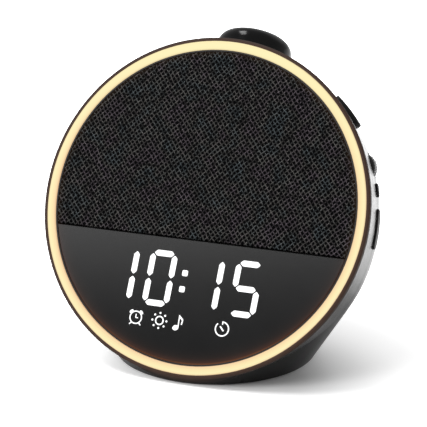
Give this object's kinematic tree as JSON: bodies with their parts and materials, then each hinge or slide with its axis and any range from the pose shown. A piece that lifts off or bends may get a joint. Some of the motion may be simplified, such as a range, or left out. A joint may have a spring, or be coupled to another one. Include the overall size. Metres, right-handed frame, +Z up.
{
  "type": "alarm clock",
  "caption": "Ball-shaped sunrise alarm clock with a leaning round face: cloth speaker grille over a digit display, glowing ring, top dial, side buttons and thumbwheel.",
  "frame": {"origin": "on the table at the middle of the round foot pad, straight below the centre of the ball", "axes": "+X to the side with the buttons, -Y the way the face looks, +Z up"},
  "size_m": [0.132, 0.1044, 0.1227],
  "materials": {
    "black_shell": "satin",
    "black_inner": "matte",
    "gloss_black": "gloss",
    "diffuser": "satin",
    "lens": "satin",
    "cloth": "woven",
    "light_bar": "satin",
    "white_channel": "satin",
    "board_green": "satin",
    "lamp": "gloss",
    "screw_steel": "satin",
    "bright_steel": "satin",
    "black_rubber": "matte",
    "cone_paper": "matte",
    "magnet": "satin",
    "grey_wheel": "satin"
  },
  "bodies": {
    "case": {"main_housing": "black_shell", "foot_pad": "black_rubber", "light_ring": "diffuser", "ring_reflector": "white_channel", "ring_board": "board_green", "ring_lamps": "lamp", "front_frame": "black_inner", "frame_screws": "screw_steel", "grille_plate": "black_inner", "grille_cloth": "cloth", "display_lens": "lens", "display_module": "black_inner", "digit_segments": "light_bar", "display_board": "board_green", "display_screws": "screw_steel", "speaker_basket": "magnet", "speaker_surround": "black_rubber", "speaker_cone": "cone_paper", "speaker_magnet": "magnet", "speaker_screws": "screw_steel", "main_board": "board_green", "board_parts": "black_inner", "cell_holder": "black_inner", "backup_cell": "bright_steel", "board_screws": "screw_steel", "encoder_body": "bright_steel", "encoder_nut": "bright_steel", "button_switches": "black_inner", "volume_pot": "black_inner", "side_board": "board_green", "side_screws": "screw_steel", "rear_cover": "black_shell", "cover_screws": "screw_steel", "power_inlet": "bright_steel", "inlet_board": "board_green"},
    "dial_carriage": {"encoder_plunger": "white_channel"},
    "dial": {"dial_knob": "gloss_black", "encoder_shaft": "bright_steel"},
    "upper_key": {"upper_button": "gloss_black"},
    "small_key": {"small_button": "gloss_black"},
    "lower_key": {"lower_button": "gloss_black"},
    "wheel": {"volume_wheel": "grey_wheel"}
  },
  "joints": [
    {"name": "dial_press", "type": "slide", "parent": "case", "child": "dial_carriage", "axis": [0, 0.606, 0.7955], "range_m": [-0.0006, 0], "stiffness_N_per_m": 4000, "springref_m": 0.0003},
    {"name": "dial_turn", "type": "hinge", "parent": "dial_carriage", "child": "dial", "pos_m": [0, 0.03636, 0.10433], "axis": [0, 0.606, 0.7955], "continuous": true},
    {"name": "upper_button_press", "type": "slide", "parent": "case", "child": "upper_key", "axis": [0.7034, 0.2959, 0.6463], "range_m": [-0.0006, 0], "stiffness_N_per_m": 1500, "springref_m": 0.0003},
    {"name": "small_button_press", "type": "slide", "parent": "case", "child": "small_key", "axis": [0.9664, 0.107, 0.2338], "range_m": [-0.0006, 0], "stiffness_N_per_m": 1500, "springref_m": 0.0003},
    {"name": "lower_button_press", "type": "slide", "parent": "case", "child": "lower_key", "axis": [0.9998, 0.0087, 0.019], "range_m": [-0.0006, 0], "stiffness_N_per_m": 1500, "springref_m": 0.0003},
    {"name": "wheel_turn", "type": "hinge", "parent": "case", "child": "wheel", "pos_m": [0.0533, 0.01615, 0.07555], "axis": [0, -0.9092, 0.4163], "range_deg": [-140, 140]}
  ]
}
